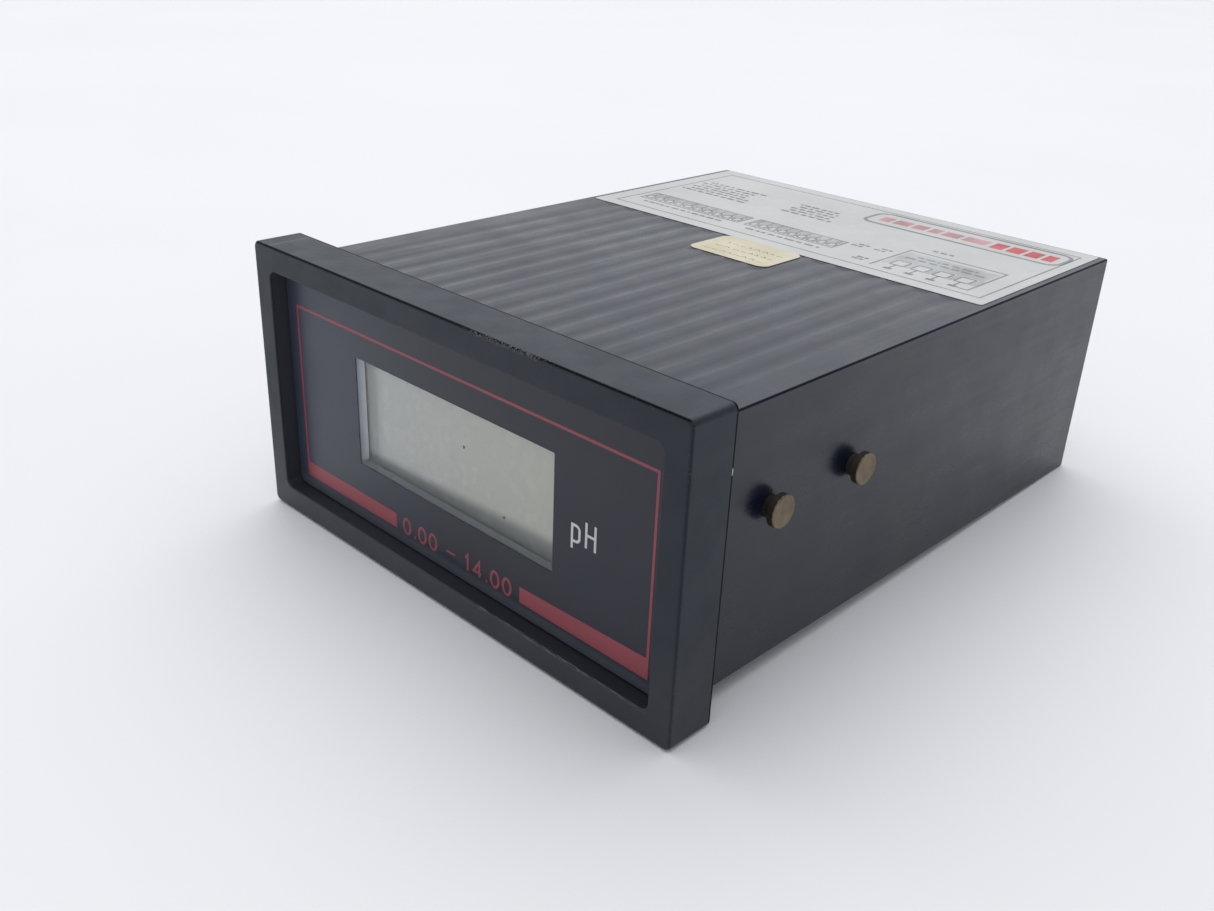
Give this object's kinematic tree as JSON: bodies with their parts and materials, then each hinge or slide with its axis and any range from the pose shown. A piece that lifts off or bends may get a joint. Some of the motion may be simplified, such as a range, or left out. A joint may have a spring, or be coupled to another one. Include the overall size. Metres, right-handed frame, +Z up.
{
  "type": "panel-mount ph meter",
  "caption": "Panel-mount pH indicator: black case and bezel, recessed printed front with a liquid crystal window, side clamp studs and plug-in rear terminals.",
  "frame": {"origin": "middle of the bezel's rear face, where the meter seats on its panel, on the case's centre line", "axes": "+X to the right seen from the front, +Y from the front to the back along the case, +Z up"},
  "size_m": [0.096, 0.12, 0.048],
  "materials": {
    "case_plastic": "fine matt, slightly mottled",
    "bezel_plastic": "matt with rubbed edges",
    "plate_plastic": "matt",
    "overlay_print": "satin, printed in red and white, with a clear window",
    "label_foil": "printed silver foil",
    "seal_paper": "cream paper",
    "brass": "tarnished",
    "steel_zinc": "zinc plated",
    "nickel": "nickel plated",
    "tin": "tinned",
    "board_green": "solder mask over copper tracks",
    "black_moulding": "moulded",
    "plug_green": "moulded",
    "core_steel": "laminations edge on",
    "coil_tape": "taped winding",
    "capacitor_sleeve": "shrink sleeve",
    "film_case": "dipped",
    "resistor_body": "lacquered with colour bands",
    "sink_aluminium": "black anodised",
    "fuse_glass": "clear with plated caps",
    "lcd_glass": "reflective display behind a polariser",
    "trimmer_blue": "moulded",
    "contact_rubber": "striped conductive silicone"
  },
  "bodies": {
    "case": {"case_shell": "case_plastic", "rear_panel": "black_moulding", "rear_screws": "steel_zinc", "clamp_studs": "brass", "type_label": "label_foil", "seal_sticker": "seal_paper"},
    "module": {"main_board": "board_green", "display_board": "board_green", "board_link": "black_moulding", "corner_brackets": "steel_zinc", "bracket_screws": "steel_zinc", "transformer_core": "core_steel", "transformer_coil": "coil_tape", "smoothing_capacitors": "capacitor_sleeve", "bridge_rectifier": "black_moulding", "heat_sink": "sink_aluminium", "regulator": "black_moulding", "fuse_tube": "fuse_glass", "fuse_clips": "nickel", "adc_chip": "black_moulding", "amplifier_chips": "black_moulding", "film_capacitors": "film_case", "resistors": "resistor_body", "trimmer_bodies": "trimmer_blue", "signal_header": "plug_green", "signal_pins": "tin", "supply_header": "plug_green", "supply_pins": "tin", "lcd_frame": "black_moulding", "lcd_cell": "lcd_glass", "contact_strips": "contact_rubber"},
    "bezel": {"bezel_frame": "bezel_plastic"},
    "front_panel": {"panel_plate": "plate_plastic", "panel_overlay": "overlay_print"},
    "signal_plug": {"signal_plug": "plug_green", "signal_contacts": "tin"},
    "supply_plug": {"supply_plug": "plug_green", "supply_contacts": "tin"},
    "zero_screw": {"zero_screw": "brass"},
    "span_screw": {"span_screw": "brass"},
    "signal_screw_1": {"signal_screw_1": "nickel"},
    "signal_cage_1": {"signal_cage_1": "nickel"},
    "signal_screw_2": {"signal_screw_2": "nickel"},
    "signal_cage_2": {"signal_cage_2": "nickel"},
    "signal_screw_3": {"signal_screw_3": "nickel"},
    "signal_cage_3": {"signal_cage_3": "nickel"},
    "signal_screw_4": {"signal_screw_4": "nickel"},
    "signal_cage_4": {"signal_cage_4": "nickel"},
    "signal_screw_5": {"signal_screw_5": "nickel"},
    "signal_cage_5": {"signal_cage_5": "nickel"},
    "signal_screw_6": {"signal_screw_6": "nickel"},
    "signal_cage_6": {"signal_cage_6": "nickel"},
    "supply_screw_1": {"supply_screw_1": "nickel"},
    "supply_cage_1": {"supply_cage_1": "nickel"},
    "supply_screw_2": {"supply_screw_2": "nickel"},
    "supply_cage_2": {"supply_cage_2": "nickel"},
    "supply_screw_3": {"supply_screw_3": "nickel"},
    "supply_cage_3": {"supply_cage_3": "nickel"}
  },
  "joints": [
    {"name": "module_withdraw", "type": "slide", "parent": "case", "child": "module", "axis": [0, -1, 0], "range_m": [0, 0.104]},
    {"name": "bezel_unclip", "type": "slide", "parent": "module", "child": "bezel", "axis": [0, -1, 0], "range_m": [0, 0.012]},
    {"name": "front_panel_remove", "type": "slide", "parent": "bezel", "child": "front_panel", "axis": [0, -1, 0], "range_m": [0, 0.008]},
    {"name": "signal_plug_pull", "type": "slide", "parent": "case", "child": "signal_plug", "axis": [0, 1, 0], "range_m": [0, 0.02]},
    {"name": "supply_plug_pull", "type": "slide", "parent": "case", "child": "supply_plug", "axis": [0, 1, 0], "range_m": [0, 0.02]},
    {"name": "zero_adjust", "type": "hinge", "parent": "module", "child": "zero_screw", "pos_m": [0.0345, -0.0031, 0.009], "axis": [0, 1, 0], "continuous": true},
    {"name": "span_adjust", "type": "hinge", "parent": "module", "child": "span_screw", "pos_m": [0.0345, -0.0031, -0.0005], "axis": [0, 1, 0], "continuous": true},
    {"name": "signal_screw_1_turn", "type": "hinge", "parent": "signal_plug", "child": "signal_screw_1", "pos_m": [-0.0327, 0.1072, 0.001], "axis": [0, 0, -1], "range_deg": [0, 1441]},
    {"name": "signal_cage_1_rise", "type": "slide", "parent": "signal_plug", "child": "signal_cage_1", "axis": [0, 0, 1], "range_m": [0, 0.0018]},
    {"name": "signal_screw_2_turn", "type": "hinge", "parent": "signal_plug", "child": "signal_screw_2", "pos_m": [-0.02762, 0.1072, 0.001], "axis": [0, 0, -1], "range_deg": [0, 1441]},
    {"name": "signal_cage_2_rise", "type": "slide", "parent": "signal_plug", "child": "signal_cage_2", "axis": [0, 0, 1], "range_m": [0, 0.0018]},
    {"name": "signal_screw_3_turn", "type": "hinge", "parent": "signal_plug", "child": "signal_screw_3", "pos_m": [-0.02254, 0.1072, 0.001], "axis": [0, 0, -1], "range_deg": [0, 1441]},
    {"name": "signal_cage_3_rise", "type": "slide", "parent": "signal_plug", "child": "signal_cage_3", "axis": [0, 0, 1], "range_m": [0, 0.0018]},
    {"name": "signal_screw_4_turn", "type": "hinge", "parent": "signal_plug", "child": "signal_screw_4", "pos_m": [-0.01746, 0.1072, 0.001], "axis": [0, 0, -1], "range_deg": [0, 1441]},
    {"name": "signal_cage_4_rise", "type": "slide", "parent": "signal_plug", "child": "signal_cage_4", "axis": [0, 0, 1], "range_m": [0, 0.0018]},
    {"name": "signal_screw_5_turn", "type": "hinge", "parent": "signal_plug", "child": "signal_screw_5", "pos_m": [-0.01238, 0.1072, 0.001], "axis": [0, 0, -1], "range_deg": [0, 1441]},
    {"name": "signal_cage_5_rise", "type": "slide", "parent": "signal_plug", "child": "signal_cage_5", "axis": [0, 0, 1], "range_m": [0, 0.0018]},
    {"name": "signal_screw_6_turn", "type": "hinge", "parent": "signal_plug", "child": "signal_screw_6", "pos_m": [-0.0073, 0.1072, 0.001], "axis": [0, 0, -1], "range_deg": [0, 1441]},
    {"name": "signal_cage_6_rise", "type": "slide", "parent": "signal_plug", "child": "signal_cage_6", "axis": [0, 0, 1], "range_m": [0, 0.0018]},
    {"name": "supply_screw_1_turn", "type": "hinge", "parent": "supply_plug", "child": "supply_screw_1", "pos_m": [0.02292, 0.1072, 0.001], "axis": [0, 0, -1], "range_deg": [0, 1441]},
    {"name": "supply_cage_1_rise", "type": "slide", "parent": "supply_plug", "child": "supply_cage_1", "axis": [0, 0, 1], "range_m": [0, 0.0018]},
    {"name": "supply_screw_2_turn", "type": "hinge", "parent": "supply_plug", "child": "supply_screw_2", "pos_m": [0.028, 0.1072, 0.001], "axis": [0, 0, -1], "range_deg": [0, 1441]},
    {"name": "supply_cage_2_rise", "type": "slide", "parent": "supply_plug", "child": "supply_cage_2", "axis": [0, 0, 1], "range_m": [0, 0.0018]},
    {"name": "supply_screw_3_turn", "type": "hinge", "parent": "supply_plug", "child": "supply_screw_3", "pos_m": [0.03308, 0.1072, 0.001], "axis": [0, 0, -1], "range_deg": [0, 1441]},
    {"name": "supply_cage_3_rise", "type": "slide", "parent": "supply_plug", "child": "supply_cage_3", "axis": [0, 0, 1], "range_m": [0, 0.0018]}
  ],
  "couplings": [
    {"joint": "signal_screw_1_turn", "follows": "signal_cage_1_rise", "rad_per_m": 13963},
    {"joint": "signal_screw_2_turn", "follows": "signal_cage_2_rise", "rad_per_m": 13963},
    {"joint": "signal_screw_3_turn", "follows": "signal_cage_3_rise", "rad_per_m": 13963},
    {"joint": "signal_screw_4_turn", "follows": "signal_cage_4_rise", "rad_per_m": 13963},
    {"joint": "signal_screw_5_turn", "follows": "signal_cage_5_rise", "rad_per_m": 13963},
    {"joint": "signal_screw_6_turn", "follows": "signal_cage_6_rise", "rad_per_m": 13963},
    {"joint": "supply_screw_1_turn", "follows": "supply_cage_1_rise", "rad_per_m": 13963},
    {"joint": "supply_screw_2_turn", "follows": "supply_cage_2_rise", "rad_per_m": 13963},
    {"joint": "supply_screw_3_turn", "follows": "supply_cage_3_rise", "rad_per_m": 13963}
  ]
}
